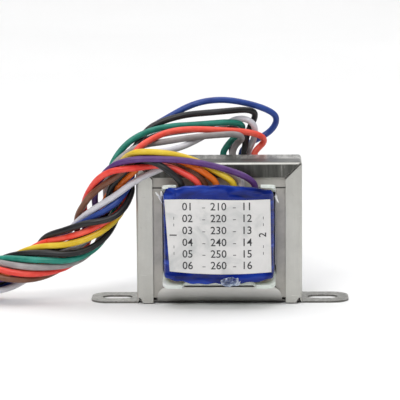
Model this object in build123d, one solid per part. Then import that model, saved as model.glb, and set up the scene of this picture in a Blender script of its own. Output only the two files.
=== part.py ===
from build123d import *
from math import cos, pi, radians, sin, tan
import os

# Laminated chassis transformer. +X runs along the ears, the label faces -Y, +Z is up.
# The origin is the centre of the footprint, on the plane that the ears stand on.

# Sheet metal and common fits, in millimetres
sheet = 0.5
core_slip = 0.13
cut_overrun = 3.0

# Laminations: an E and an I that meet in a butt joint
lam_width = 41.0
lam_leg = 6.0
lam_centre_leg = 13.0
lam_yoke = 6.0
lam_bar = 6.0
window_height = 22.3
joint_gap = 0.05
lam_pitch = 0.5
varnish_film = 0.02
lam_count = 28
lam_foot = 1.6

# Channel frame with its flanges, mitres, ears and slots
frame_foot = 0.3
frame_bend = 0.85
side_flange = 4.2
top_flange = 3.95
mitre_gap = 0.32
foot_notch = 1.45
foot_bend = 0.6
ear_width = 12.7
ear_corner = 4.3
slot_root = 1.47
slot_tip = 2.75
slot_length = 7.8
slot_width = 4.6

# Base clip: a rolled strip under the stack
clip_length = 31.8
clip_height = 4.05
clip_inner_bend = 1.3
clip_corner = 2.5
clip_fit = 0.1
clip_web_gap = 0.2

# Bobbin
bobbin_fit = 0.15
bobbin_wall = 0.9
bobbin_side_gap = 0.2
bobbin_end_gap = 0.05
bobbin_depth = 30.0
bobbin_corner = 2.0
flare_root = 8.4
top_flare = 2.0
bottom_flare = 2.3
lead_recess = 21.2
lead_recess_floor = 9.0
bottom_recess = 17.2
bottom_recess_depth = 1.6
bottom_recess_chamfer = 0.9

# Windings and their paper, built up from the bobbin outwards
layer_gap = 0.02
primary_side_build = 2.85
primary_face_build = 2.8
paper_build = 0.3
secondary_side_build = 2.5
secondary_face_build = 2.6
wrap_build = 0.25
winding_corner = 1.5
coil_end_gap = 0.1

# Outer tape: a belt between the bobbin flanges with a front and back skin that bulges past them
tape_side = 0.5
tape_edge_depth = 15.3
tape_bulge = 1.0
tape_corner = 3.2
skin_gap = 0.1
skin_edge_top = 29.6
skin_centre_top = 31.0
skin_edge_bottom = 8.0
skin_centre_bottom = 6.8

# Tap label, film strips and the bit of clear tape
label_width = 26.6
label_foot = 9.3
label_height = 19.0
label_sheet = 0.12
film_sheet = 0.12
film_depth = 18.6
film_foot_gap = 0.3
tab_width = 4.9
tab_height = 2.1
tab_sheet = 0.35
tab_x = 2.9
tab_foot = 6.1

# Leads: fourteen insulated wires that rise from the coil, cross the top left corner and twist together
lead_diameter = 1.65
strand_diameter = 0.95
tip_length = 6.0
arc_share = 0.45
lead_rise = 2.0
twist_radius = 4.1
core_radius = 1.25
twist_step_degrees = 25.0
twist_start_degrees = -85.0
core_start_degrees = -5.0

# Slot of each lead round the twist, the leads inside it, and how many stations each one skips
twist_slot_count = 12
twist_slots = {
    "black_loop": 0, "red_rear": 1, "yellow": 2, "black_rear": 3, "green": 4, "grey": 5,
    "red_front": 7, "brown": 8, "white_front": 10, "blue": 11,
}
core_order = ["violet", "black_front", "white_rear", "orange"]
join_counts = {
    "violet": 3, "yellow": 1, "orange": 1, "red_front": 4, "brown": 6, "black_front": 2,
    "white_front": 1, "black_loop": 9, "black_rear": 1, "red_rear": 1, "white_rear": 2, "blue": 1,
}

# Leads that slide into a free slot, and how far they have slid at each station
late_slide_shares = [0.0] * 5 + [0.35, 0.7] + [1.0] * 11
early_slide_shares = [0.0, 0.2, 0.45, 0.65, 0.65, 0.6, 0.4, 0.15] + [0.0] * 10
slides = {
    "red_front": late_slide_shares, "brown": late_slide_shares,
    "red_rear": early_slide_shares, "yellow": early_slide_shares,
}

# Middle of the twisted bundle, station by station, and how far the twist opens at each
bundle_points = [
    (-26.1, -5.5, 30.9), (-27.2, -5.5, 27.8), (-28.8, -5.5, 25.0), (-30.4, -5.5, 22.3),
    (-32.2, -5.5, 19.6), (-34.5, -5.5, 17.1), (-37.2, -5.5, 15.0), (-40.2, -5.5, 13.4),
    (-43.2, -5.5, 12.1), (-46.4, -5.5, 10.6), (-49.8, -5.4, 9.2), (-53.2, -5.1, 8.1),
    (-56.7, -4.6, 7.2), (-60.2, -3.8, 6.6), (-63.6, -2.6, 6.2), (-66.9, -1.0, 6.1),
    (-70.0, 0.9, 6.3), (-72.9, 3.1, 6.8),
]
twist_shares = [1.0] * 15 + [1.05, 1.12, 1.2]

# Free part of each lead: its exit in plan, then the points it passes before it joins the twist
lead_points = {
    "violet": [
        (9.3, -12.2),
        (8.6, -12.3, 32.3), (6.4, -12.5, 33.8), (3.1, -12.8, 35.1), (-1.1, -13.0, 36.4),
        (-5.6, -13.1, 37.4), (-10.2, -13.1, 38.0), (-14.7, -13.0, 38.2), (-19.0, -13.0, 38.3),
        (-22.5, -12.8, 37.9), (-25.6, -12.2, 37.0), (-28.1, -10.3, 35.1), (-30.1, -8.1, 32.5),
        (-31.5, -6.3, 29.5), (-31.8, -5.8, 27.0),
    ],
    "yellow": [
        (4.1, -13.2),
        (3.5, -13.0, 32.3), (1.7, -12.4, 33.6), (-1.0, -11.4, 35.0), (-4.2, -10.5, 36.7),
        (-8.0, -8.8, 38.1), (-12.6, -7.2, 39.1), (-17.0, -6.3, 39.4), (-20.4, -5.9, 39.3),
        (-23.0, -5.2, 38.4), (-25.2, -4.0, 36.3), (-26.0, -3.5, 33.2), (-25.3, -3.3, 30.0),
    ],
    "orange": [
        (-0.3, -12.6),
        (-0.9, -12.6, 32.5), (-2.4, -12.4, 33.7), (-4.0, -12.2, 34.9), (-5.9, -11.7, 36.0),
        (-8.2, -11.0, 37.0), (-10.8, -9.6, 37.9), (-13.6, -8.4, 38.5), (-16.4, -8.4, 38.3),
        (-18.7, -8.5, 37.2), (-20.5, -8.7, 35.5), (-22.1, -8.7, 33.9), (-24.0, -8.2, 32.1),
        (-25.8, -7.3, 30.0),
    ],
    "red_front": [
        (-4.7, -13.6),
        (-5.4, -13.5, 32.4), (-6.8, -13.1, 33.5), (-8.7, -12.5, 34.5), (-10.7, -11.9, 35.4),
        (-12.9, -11.5, 36.1), (-15.2, -10.7, 36.3), (-17.5, -10.2, 36.0), (-19.1, -10.9, 35.9),
        (-20.8, -12.2, 35.8), (-23.8, -13.0, 35.7), (-27.2, -12.6, 35.1), (-30.2, -10.3, 33.2),
        (-32.3, -7.9, 30.6), (-33.8, -6.0, 27.8), (-34.8, -4.0, 24.9), (-34.3, -2.4, 22.1),
    ],
    "brown": [
        (-3.2, -11.0),
        (-4.0, -10.9, 32.2), (-5.3, -10.7, 33.4), (-7.2, -10.4, 34.4), (-9.5, -10.2, 35.1),
        (-11.8, -10.1, 36.2), (-14.0, -10.1, 37.8), (-16.3, -10.4, 38.7), (-18.6, -10.7, 39.2),
        (-20.7, -11.0, 38.4), (-22.7, -11.0, 36.5), (-24.6, -11.3, 34.6), (-26.7, -10.9, 32.9),
        (-28.8, -10.2, 31.5), (-30.8, -9.5, 30.0), (-32.8, -8.6, 28.1), (-34.6, -6.8, 25.6),
        (-36.2, -4.8, 22.8), (-36.7, -2.8, 20.1),
    ],
    "black_front": [
        (-9.2, -13.2),
        (-9.6, -13.3, 32.5), (-10.7, -13.4, 33.7), (-12.1, -13.3, 34.9), (-13.8, -13.0, 36.1),
        (-15.7, -12.0, 37.2), (-17.9, -11.0, 37.7), (-20.3, -9.9, 37.1), (-22.5, -9.5, 35.6),
        (-24.7, -9.0, 33.6), (-26.8, -8.2, 31.3), (-28.1, -7.2, 28.7),
    ],
    "white_front": [
        (5.8, -10.4),
        (5.8, -10.3, 32.1), (4.4, -10.1, 33.5), (1.8, -9.5, 34.9), (-1.7, -8.8, 35.9),
        (-5.5, -8.5, 36.2), (-9.1, -8.5, 36.2), (-12.4, -8.5, 35.9), (-14.9, -8.5, 35.0),
        (-17.4, -8.6, 33.9), (-20.1, -9.0, 32.7), (-22.7, -9.6, 31.1), (-24.8, -9.9, 29.5),
    ],
    "green": [
        (1.0, 11.0),
        (0.7, 11.2, 36.3), (1.5, 11.8, 37.7), (2.6, 12.6, 39.1), (4.2, 13.4, 40.5), (5.5, 13.4, 41.8),
        (6.1, 12.6, 43.2), (5.0, 11.2, 44.3), (2.4, 10.2, 44.7), (-1.5, 9.6, 44.5), (-6.6, 8.8, 44.2),
        (-12.6, 7.8, 44.0), (-17.7, 6.6, 43.1), (-22.1, 4.9, 41.3), (-25.1, 3.4, 38.8),
        (-27.1, 1.6, 36.0), (-28.1, 0.0, 33.6),
    ],
    "grey": [
        (3.4, 9.9),
        (3.3, 9.8, 36.3), (3.6, 9.7, 37.8), (4.6, 9.3, 39.3), (5.8, 8.6, 40.3), (5.6, 7.2, 41.5),
        (3.5, 5.8, 42.1), (0.2, 5.0, 42.0), (-4.0, 4.2, 41.8), (-9.1, 3.3, 41.3), (-14.5, 2.6, 40.5),
        (-19.4, 2.0, 39.9), (-23.1, 1.2, 38.4), (-26.0, -0.6, 36.2), (-27.8, -2.2, 34.1),
    ],
    "red_rear": [
        (9.0, 12.4),
        (8.9, 12.4, 36.1), (9.7, 12.8, 37.2), (10.9, 13.0, 38.3), (11.7, 12.4, 39.5),
        (11.0, 11.0, 40.8), (8.9, 9.8, 41.8), (5.3, 8.6, 42.5), (0.6, 7.4, 42.9), (-4.5, 6.4, 43.3),
        (-9.4, 5.4, 43.4), (-13.8, 4.0, 42.8), (-17.3, 1.2, 41.5), (-20.3, -1.2, 39.9),
        (-22.5, -2.2, 37.2), (-23.8, -3.3, 34.1), (-23.8, -4.3, 30.6),
    ],
    "black_loop": [
        (6.2, 10.6),
        (6.3, 10.7, 36.4), (6.6, 10.9, 38.2), (6.8, 11.1, 40.1), (7.4, 11.3, 42.1), (8.0, 11.5, 43.9),
        (8.8, 11.4, 45.7), (8.6, 10.8, 47.2), (6.2, 10.0, 47.8), (1.7, 9.8, 47.6), (-3.5, 9.6, 47.2),
        (-8.7, 9.2, 46.8), (-13.6, 8.8, 45.6), (-17.7, 8.6, 43.9), (-20.0, 7.6, 41.6),
        (-21.5, 4.7, 39.4), (-23.1, 2.7, 37.0), (-23.9, 1.2, 34.5), (-23.2, -0.9, 31.9),
        (-22.1, -4.4, 29.6), (-22.8, -7.6, 27.1), (-24.6, -10.1, 24.4), (-27.5, -10.9, 22.6),
        (-30.8, -11.2, 22.0), (-33.8, -10.8, 21.5), (-36.7, -9.8, 20.5), (-39.7, -8.8, 19.3),
        (-42.7, -7.0, 18.2), (-45.2, -4.2, 16.6),
    ],
    "black_rear": [
        (3.2, 13.4),
        (3.2, 13.8, 36.0), (3.0, 15.0, 37.4), (3.5, 16.2, 38.9), (4.4, 17.0, 40.3), (4.9, 16.6, 41.7),
        (3.4, 15.4, 42.6), (0.5, 14.4, 42.8), (-3.4, 13.2, 42.7), (-7.8, 12.0, 42.4),
        (-12.7, 10.8, 42.0), (-17.4, 9.4, 41.1), (-21.3, 7.1, 39.3), (-24.2, 4.6, 36.8),
        (-25.9, 2.4, 33.9), (-26.2, 0.2, 30.7),
    ],
    "white_rear": [
        (7.8, 14.1),
        (7.5, 14.6, 36.0), (7.7, 16.2, 37.3), (8.5, 17.8, 38.9), (9.1, 18.4, 40.8), (8.5, 17.6, 42.8),
        (6.3, 15.6, 44.2), (3.1, 13.0, 44.3), (-0.7, 10.4, 42.8), (-4.8, 6.8, 41.0), (-8.6, 3.2, 39.5),
        (-12.6, -0.6, 38.7), (-16.6, -2.8, 38.6), (-19.6, -4.0, 38.4), (-22.2, -4.9, 36.9),
        (-24.0, -5.2, 34.7), (-25.2, -5.4, 32.5), (-26.3, -4.8, 29.9),
    ],
    "blue": [
        (5.4, 12.9),
        (5.5, 13.2, 36.1), (6.4, 14.0, 37.5), (8.0, 15.2, 38.7), (10.5, 16.6, 39.8),
        (13.1, 17.2, 41.2), (14.8, 16.8, 43.5), (14.7, 15.8, 45.9), (11.6, 14.6, 47.8),
        (6.9, 13.6, 49.3), (1.7, 12.8, 50.3), (-3.6, 12.2, 50.1), (-8.3, 11.8, 48.7),
        (-12.8, 11.6, 46.2), (-16.9, 11.2, 43.9), (-19.9, 10.2, 41.5), (-21.4, 9.4, 39.1),
        (-22.1, 6.8, 37.0), (-22.3, 2.7, 34.9), (-22.3, -2.0, 32.7), (-22.7, -6.6, 30.8),
    ],
}

# Places that follow from the sizes above
stack_depth = lam_count * lam_pitch - varnish_film
lam_window = (lam_width - lam_centre_leg - 2 * lam_leg) / 2
window_floor = lam_foot + lam_yoke
joint_height = window_floor + window_height
window_top = joint_height + joint_gap
core_top = window_top + lam_bar
frame_inner_x = lam_width / 2 + core_slip
frame_outer_x = frame_inner_x + sheet
frame_inner_y = stack_depth / 2 + core_slip
frame_outer_y = frame_inner_y + sheet
frame_inner_top = core_top + core_slip
frame_top = frame_inner_top + sheet
bobbin_floor = window_floor + bobbin_end_gap
bobbin_top = window_top - bobbin_end_gap
bobbin_width = lam_centre_leg + 2 * lam_window - 2 * bobbin_side_gap
hub_x = lam_centre_leg / 2 + bobbin_fit
hub_y = stack_depth / 2 + bobbin_fit
coil_floor = bobbin_floor + bobbin_wall
coil_top = bobbin_top - bobbin_wall
belt_foot = coil_floor + coil_end_gap
belt_top = coil_top - coil_end_gap
ear_root = foot_bend + 2 * sheet
slot_x = frame_outer_x + slot_root + slot_length / 2
ear_tip_x = slot_x + slot_length / 2 + slot_tip


def upright(sketch, depth, y_mid):
    """Extrude a sketch drawn in the front view through a depth centred on y_mid."""
    solid = extrude(Plane.XZ * sketch, amount=depth / 2, both=True)
    return Pos(0, y_mid, 0) * solid


def lengthwise(sketch, length):
    """Extrude a sketch drawn in the side view along X, centred."""
    return extrude(Plane.YZ * sketch, amount=length / 2, both=True)


def plan(sketch, foot, height):
    """Extrude a sketch drawn in plan up from a foot height."""
    return Pos(0, 0, foot) * extrude(sketch, amount=height)


def save(name, solids):
    """Write one node, a single solid or a group of separate ones."""
    if isinstance(solids, list):
        solids = Compound(children=solids)
    export_step(solids, "parts/" + name + ".step")


def sheet_places():
    """Middle of each sheet of the stack, from front to back."""
    first = -(lam_count - 1) * lam_pitch / 2
    return [first + index * lam_pitch for index in range(lam_count)]


def e_laminations():
    height = joint_height - lam_foot
    outline = Pos(0, lam_foot + height / 2) * Rectangle(lam_width, height)
    window = Rectangle(lam_window, window_height)
    window_x = lam_centre_leg / 2 + lam_window / 2
    for side in (-1, 1):
        outline -= Pos(side * window_x, window_floor + window_height / 2) * window
    one = upright(outline, lam_pitch - varnish_film, 0)
    return [Pos(0, y, 0) * one for y in sheet_places()]


def i_laminations():
    outline = Pos(0, window_top + lam_bar / 2) * Rectangle(lam_width, lam_bar)
    one = upright(outline, lam_pitch - varnish_film, 0)
    return [Pos(0, y, 0) * one for y in sheet_places()]


def folded_block(half_x, half_y, foot, top, radius):
    """Block whose upright edges and top edges carry the fold radius."""
    block = Pos(0, 0, (foot + top) / 2) * Box(2 * half_x, 2 * half_y, top - foot)
    folds = block.edges().filter_by(Axis.Z) + block.faces().sort_by(Axis.Z)[-1].edges()
    return fillet(folds, radius)


def channel_shell():
    """Inverted U with flanges folded over the core, open below."""
    outer = folded_block(frame_outer_x, frame_outer_y, frame_foot, frame_top, frame_bend)
    inner = folded_block(
        frame_inner_x, frame_inner_y, frame_foot - cut_overrun, frame_inner_top, frame_bend - sheet
    )
    view_width = 2 * (frame_outer_x - side_flange)
    view_top = frame_top - top_flange
    view_foot = frame_foot - cut_overrun
    view = Pos(0, 0, (view_top + view_foot) / 2) * Box(
        view_width, 2 * (frame_outer_y + cut_overrun), view_top - view_foot
    )
    return outer - inner - view


def mitre_cutters():
    """Slits between the top and side flanges, from the inner to the outer corner."""
    inner_x = frame_outer_x - side_flange
    inner_z = frame_top - top_flange
    middle_x = (inner_x + frame_outer_x) / 2
    middle_z = (inner_z + frame_top) / 2
    reach = 2 * (side_flange + top_flange)
    angle = atan_degrees(top_flange, side_flange)
    slit = upright(Rectangle(reach, mitre_gap), frame_bend + cut_overrun, 0)
    middle_y = frame_outer_y - frame_bend + (frame_bend + cut_overrun) / 2
    cutters = []
    for side_x in (-1, 1):
        for side_y in (-1, 1):
            turned = Rot(0, -side_x * angle, 0) * slit
            cutters.append(Pos(side_x * middle_x, side_y * middle_y, middle_z) * turned)
    return cutters


def atan_degrees(rise, run):
    """Angle of a slope in degrees."""
    return Vector(run, rise).get_angle(Vector(1, 0))


def ear(side):
    """Foot bend and slotted ear on one side, as one folded strip."""
    upper = FilletPolyline(
        (frame_outer_x, ear_root), (frame_outer_x, sheet), (ear_tip_x, sheet), radius=foot_bend
    )
    lower = FilletPolyline(
        (frame_inner_x, ear_root), (frame_inner_x, 0), (ear_tip_x, 0), radius=foot_bend + sheet
    )
    section = make_face([upper, lower, Line(upper @ 0, lower @ 0), Line(upper @ 1, lower @ 1)])
    strip = upright(section, ear_width, 0)
    corners = strip.edges().filter_by(Axis.Z).group_by(Axis.X)[-1]
    strip = fillet(corners, ear_corner)
    slot = plan(SlotOverall(slot_length, slot_width), -cut_overrun, 2 * cut_overrun + sheet)
    strip -= Pos(slot_x, 0, 0) * slot
    return strip if side > 0 else mirror(strip, about=Plane.YZ)


def channel_frame():
    frame = channel_shell()
    for cutter in mitre_cutters():
        frame -= cutter
    for side in (-1, 1):
        doorway = Box(2 * (sheet + core_slip), ear_width, ear_root - frame_foot + cut_overrun)
        doorway_z = ear_root - (ear_root - frame_foot + cut_overrun) / 2
        frame -= Pos(side * frame_outer_x, 0, doorway_z) * doorway
        notch_depth = frame_outer_y - ear_width / 2 + cut_overrun
        notch = Rot(90, 0, 0) * Cylinder(foot_notch, notch_depth)
        for side_y in (-1, 1):
            notch_y = side_y * (ear_width / 2 + notch_depth / 2)
            frame -= Pos(side * frame_outer_x, notch_y, frame_foot) * notch
        frame += ear(side)
    return frame


def base_clip():
    inner_y = stack_depth / 2 + clip_fit
    outer_y = inner_y + sheet
    floor = frame_foot + sheet
    rim = frame_foot + clip_height
    outer_bend = clip_inner_bend + sheet
    outside = FilletPolyline(
        (-outer_y, rim), (-outer_y, frame_foot), (outer_y, frame_foot), (outer_y, rim), radius=outer_bend
    )
    inside = FilletPolyline(
        (-inner_y, rim), (-inner_y, floor), (inner_y, floor), (inner_y, rim), radius=clip_inner_bend
    )
    section = make_face([outside, inside, Line(outside @ 0, inside @ 0), Line(outside @ 1, inside @ 1)])
    strip = lengthwise(section, clip_length)
    corners = strip.edges().filter_by(Axis.Y).filter_by(lambda edge: edge.center().Z > rim - sheet)
    strip = fillet(corners, clip_corner)
    web_x = 2 * (frame_inner_x - clip_web_gap)
    web = Pos(0, 0, frame_foot + sheet / 2) * Box(web_x, 2 * (outer_y - outer_bend), sheet)
    return strip + web


def flange_section(level, lift):
    """Side view of one bobbin flange: flat in the window, flared outside the core."""
    half = bobbin_depth / 2
    points = [
        (-half, level + lift), (-flare_root, level), (flare_root, level), (half, level + lift),
        (half, level + lift + bobbin_wall), (flare_root, level + bobbin_wall),
        (-flare_root, level + bobbin_wall), (-half, level + lift + bobbin_wall),
    ]
    return make_face(Polyline(points, close=True))


def bobbin_flange(level, lift):
    """Flange with rounded corners in plan."""
    flange = lengthwise(flange_section(level, lift), bobbin_width)
    tall = abs(lift) + 2 * bobbin_wall + 2 * cut_overrun
    outline = RectangleRounded(bobbin_width, bobbin_depth, bobbin_corner)
    return flange & plan(outline, level - tall / 2, tall)


def lead_gate(side):
    """Plan of the gap in the top flange that the leads rise through."""
    far = bobbin_depth / 2 + cut_overrun
    middle = (lead_recess_floor + far) / 2
    return Pos(0, side * middle) * Rectangle(lead_recess, far - lead_recess_floor)


def bottom_gate(side):
    """Plan of the shallow recess in the bottom flange, with chamfered ends."""
    rim = bobbin_depth / 2
    floor = rim - bottom_recess_depth
    half = bottom_recess / 2
    points = [
        (-half, floor), (half, floor), (half + bottom_recess_chamfer, rim),
        (half + bottom_recess_chamfer, rim + cut_overrun),
        (-half - bottom_recess_chamfer, rim + cut_overrun), (-half - bottom_recess_chamfer, rim),
    ]
    face = make_face(Polyline(points, close=True))
    return face if side > 0 else mirror(face, about=Plane.XZ)


def bobbin():
    height = bobbin_top - bobbin_floor
    hub = Rectangle(2 * (hub_x + bobbin_wall), 2 * (hub_y + bobbin_wall)) - Rectangle(2 * hub_x, 2 * hub_y)
    spool = plan(hub, bobbin_floor, height)
    upper = bobbin_flange(coil_top, top_flare)
    lower = bobbin_flange(bobbin_floor, -bottom_flare)
    tall = height + 2 * cut_overrun + 2 * top_flare
    passage = plan(Rectangle(2 * hub_x, 2 * hub_y), bobbin_floor - cut_overrun, tall)
    for side in (-1, 1):
        upper -= plan(lead_gate(side), coil_top - cut_overrun, 2 * cut_overrun + 2 * top_flare)
        lower -= plan(bottom_gate(side), bobbin_floor - 2 * cut_overrun, 3 * cut_overrun)
    return (spool + upper + lower) - passage


def coil_layers():
    """Windings and papers as nested belts, from the bobbin hub outwards."""
    builds = [
        ("primary_winding", primary_side_build, primary_face_build),
        ("winding_insulation", paper_build, paper_build),
        ("secondary_winding", secondary_side_build, secondary_face_build),
        ("coil_wrap", wrap_build, wrap_build),
    ]
    inner_x = hub_x + bobbin_wall + layer_gap
    inner_y = hub_y + bobbin_wall + layer_gap
    corner = 0
    layers = {}
    for name, side_build, face_build in builds:
        outer_x = inner_x + side_build
        outer_y = inner_y + face_build
        outer = RectangleRounded(2 * outer_x, 2 * outer_y, winding_corner)
        inner = Rectangle(2 * inner_x, 2 * inner_y)
        if corner:
            inner = RectangleRounded(2 * inner_x, 2 * inner_y, corner)
        layers[name] = plan(outer - inner, belt_foot, belt_top - belt_foot)
        inner_x = outer_x + layer_gap
        inner_y = outer_y + layer_gap
        corner = winding_corner
    return layers, inner_x, inner_y


def tape_outline(inset):
    """Plan of the taped coil: flat sides, bulging front and back, rounded corners."""
    half_x = tape_half_x - inset
    edge_y = tape_edge_depth - inset
    crown_y = edge_y + tape_bulge
    front = ThreePointArc((-half_x, -edge_y), (0, -crown_y), (half_x, -edge_y))
    back = ThreePointArc((half_x, edge_y), (0, crown_y), (-half_x, edge_y))
    face = make_face([front, Line(front @ 1, back @ 0), back, Line(back @ 1, front @ 0)])
    return fillet(face.vertices(), tape_corner - inset)


def skin_view():
    """Front view of the tape skin, its top and bottom edges bowed."""
    half = tape_half_x + cut_overrun
    top = ThreePointArc((-half, skin_edge_top), (0, skin_centre_top), (half, skin_edge_top))
    foot = ThreePointArc((half, skin_edge_bottom), (0, skin_centre_bottom), (-half, skin_edge_bottom))
    return make_face([top, Line(top @ 1, foot @ 0), foot, Line(foot @ 1, top @ 0)])


def outer_tape(inner_x, inner_y):
    """Blue tape: a belt between the flanges, and front and back skins that lap past the flange rims."""
    hollow = RectangleRounded(2 * inner_x, 2 * inner_y, winding_corner)
    belt = plan(tape_outline(0) - hollow, belt_foot, belt_top - belt_foot)
    rim_y = bobbin_depth / 2 + skin_gap
    far = tape_edge_depth + tape_bulge + cut_overrun
    lap = upright(skin_view(), 2 * far, 0) & plan(tape_outline(0), 0, frame_top)
    lap -= Pos(0, 0, frame_top / 2) * Box(2 * frame_outer_x, 2 * rim_y, 2 * frame_top)
    return belt + lap


def tap_label():
    """Paper label that follows the bulge of the tape front."""
    outer = tape_outline(-label_sheet) - tape_outline(0)
    wrap = plan(outer, label_foot, label_height)
    reach = tape_edge_depth + tape_bulge + cut_overrun
    window = Pos(0, -reach / 2, label_foot + label_height / 2) * Box(label_width, reach, label_height)
    return wrap & window


def side_film(side):
    """Film strip between the coil and a core leg."""
    gap_x = lam_centre_leg / 2 + lam_window - tape_half_x
    height = coil_top - coil_floor - 2 * film_foot_gap
    strip = Box(film_sheet, film_depth, height)
    return Pos(side * (tape_half_x + gap_x / 2), 0, coil_floor + film_foot_gap + height / 2) * strip


def clear_tape_tab():
    """Small patch of clear tape stuck on the skin under the label."""
    outer = tape_outline(-tab_sheet) - tape_outline(0)
    wrap = plan(outer, tab_foot, tab_height)
    reach = tape_edge_depth + tape_bulge + cut_overrun
    window = Pos(tab_x, -reach / 2, tab_foot + tab_height / 2) * Box(tab_width, reach, tab_height)
    return wrap & window


def bundle_frame(station):
    """Directions along, in front of and above the bundle at one station."""
    before = Vector(*bundle_points[max(station - 1, 0)])
    after = Vector(*bundle_points[min(station + 1, len(bundle_points) - 1)])
    along = (after - before).normalized()
    front = Vector(-along.Y, along.X, 0).normalized()
    return front, along.cross(front)


def twist_place(name, station):
    """Distance from the middle of the bundle and angle round it of one lead at a station."""
    turned = station * twist_step_degrees
    if name in twist_slots:
        slot = twist_slots[name]
        if name in slides:
            slot -= slides[name][station]
        reach = twist_radius * twist_shares[station]
        return reach, twist_start_degrees - 360 * slot / twist_slot_count + turned
    share = core_order.index(name) / len(core_order)
    return core_radius, core_start_degrees - 360 * share + turned


def twisted_points(name):
    """Helix of one lead round the middle of the bundle, one point a station."""
    points = []
    for station in range(join_counts.get(name, 0), len(bundle_points)):
        front, above = bundle_frame(station)
        reach, degrees = twist_place(name, station)
        offset = front * (reach * cos(radians(degrees))) + above * (reach * sin(radians(degrees)))
        points.append(Vector(*bundle_points[station]) + offset)
    return points


def lead_route(name):
    """Points of one lead from the top of the coil to its cut end."""
    exit_x, exit_y = lead_points[name][0]
    route = [Vector(exit_x, exit_y, belt_top), Vector(exit_x, exit_y, belt_top + lead_rise)]
    route += [Vector(*point) for point in lead_points[name][1:]]
    return route + twisted_points(name)


def bend_radii(route):
    """Radius of the arc at each inner point of a route."""
    radii = []
    for before, corner, after in zip(route, route[1:], route[2:]):
        shorter = min((corner - before).length, (after - corner).length)
        turn = (corner - before).get_angle(after - corner)
        radii.append(arc_share * shorter / tan(radians(turn / 2)))
    return radii


def lead(name):
    """Insulated lead as a plain tube, and the bare strand that ends it."""
    route = lead_route(name)
    radii = bend_radii(route)
    path = FilletPolyline(*route, radius=radii)
    start = Plane(route[0], z_dir=route[1] - route[0])
    tube = sweep(start * Circle(lead_diameter / 2), path=path)
    end = Plane(route[-1], z_dir=route[-1] - route[-2])
    tip = extrude(end * Circle(strand_diameter / 2), amount=tip_length)
    plain = pi * lead_diameter**2 / 4 * path.length
    print(name, "length", round(path.length, 1), "volume share", round(tube.volume / plain, 4))
    print("  radii", [round(radius, 1) for radius in radii])
    return tube, tip


os.makedirs("parts", exist_ok=True)
layers, tape_inner_x, tape_inner_y = coil_layers()
tape_half_x = tape_inner_x + tape_side
save("e_laminations", e_laminations())
save("i_laminations", i_laminations())
save("channel_frame", channel_frame())
save("base_clip", base_clip())
save("bobbin", bobbin())
for layer_name, layer in layers.items():
    save(layer_name, layer)
save("outer_tape", outer_tape(tape_inner_x, tape_inner_y))
save("tap_label", tap_label())
save("left_film", side_film(-1))
save("right_film", side_film(1))
save("clear_tape_tab", clear_tape_tab())
for lead_name in lead_points:
    tube, tip = lead(lead_name)
    save("lead_" + lead_name, tube)
    save("tip_" + lead_name, tip)
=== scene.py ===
"""Looks of a laminated chassis transformer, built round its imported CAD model.

+X runs along the ears, the label faces -Y and +Z is up. The camera and the lights are placed in metres,
all else in millimetres that MM turns into metres.
"""
import math

import bpy
import numpy as np
from mathutils import Matrix, Vector


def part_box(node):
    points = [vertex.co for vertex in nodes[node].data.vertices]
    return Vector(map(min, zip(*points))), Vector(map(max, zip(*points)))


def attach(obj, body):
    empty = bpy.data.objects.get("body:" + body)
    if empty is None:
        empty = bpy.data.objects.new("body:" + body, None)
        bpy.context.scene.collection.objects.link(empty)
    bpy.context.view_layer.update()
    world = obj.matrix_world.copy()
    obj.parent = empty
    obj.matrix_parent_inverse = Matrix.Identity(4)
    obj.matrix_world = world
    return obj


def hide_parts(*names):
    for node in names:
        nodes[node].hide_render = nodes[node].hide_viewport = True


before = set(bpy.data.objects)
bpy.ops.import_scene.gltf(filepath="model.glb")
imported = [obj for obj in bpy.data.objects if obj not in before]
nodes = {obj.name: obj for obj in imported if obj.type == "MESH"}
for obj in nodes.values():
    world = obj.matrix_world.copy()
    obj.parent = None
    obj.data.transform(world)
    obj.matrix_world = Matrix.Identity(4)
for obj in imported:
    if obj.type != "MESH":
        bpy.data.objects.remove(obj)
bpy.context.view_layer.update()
MM = 0.001

# Camera: where it stands, what it looks at, its lens and sensor in millimetres, and its slight roll
CAMERA_PLACE = (0.0098, -0.6219, 0.1210)
CAMERA_AIM = (-0.00483, -0.0076, 0.02692)
CAMERA_LENS = 220.05
CAMERA_SENSOR = 36.0
CAMERA_NEAR = 0.01
CAMERA_ROLL_DEGREES = -0.4


def place_camera():
    """Camera at the photograph's viewing angle."""
    data = bpy.data.cameras.new("camera")
    data.lens = CAMERA_LENS
    data.sensor_width = CAMERA_SENSOR
    data.clip_start = CAMERA_NEAR
    camera = bpy.data.objects.new("camera", data)
    bpy.context.scene.collection.objects.link(camera)
    look = Vector(CAMERA_AIM) - Vector(CAMERA_PLACE)
    turn = look.to_track_quat("-Z", "Y").to_matrix().to_4x4()
    roll = Matrix.Rotation(math.radians(CAMERA_ROLL_DEGREES), 4, "Z")
    camera.matrix_world = Matrix.Translation(CAMERA_PLACE) @ turn @ roll
    bpy.context.scene.camera = camera


place_camera()

# Materials


def new_finish(name, roughness, metallic=0.0, ior=1.45):
    """Principled material with its object coordinates ready; returns the material and its tools."""
    material = bpy.data.materials.new(name)
    material.use_nodes = True
    tree = material.node_tree
    shader = tree.nodes["Principled BSDF"]
    shader.inputs["Roughness"].default_value = roughness
    shader.inputs["Metallic"].default_value = metallic
    shader.inputs["IOR"].default_value = ior
    coordinates = tree.nodes.new("ShaderNodeTexCoord").outputs["Object"]
    return material, tree, shader, coordinates


def stretched(tree, source, scale, location=(0, 0, 0)):
    """Coordinates scaled and moved on each axis."""
    mapping = tree.nodes.new("ShaderNodeMapping")
    mapping.inputs["Scale"].default_value = scale
    mapping.inputs["Location"].default_value = location
    tree.links.new(source, mapping.inputs["Vector"])
    return mapping.outputs["Vector"]


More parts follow.
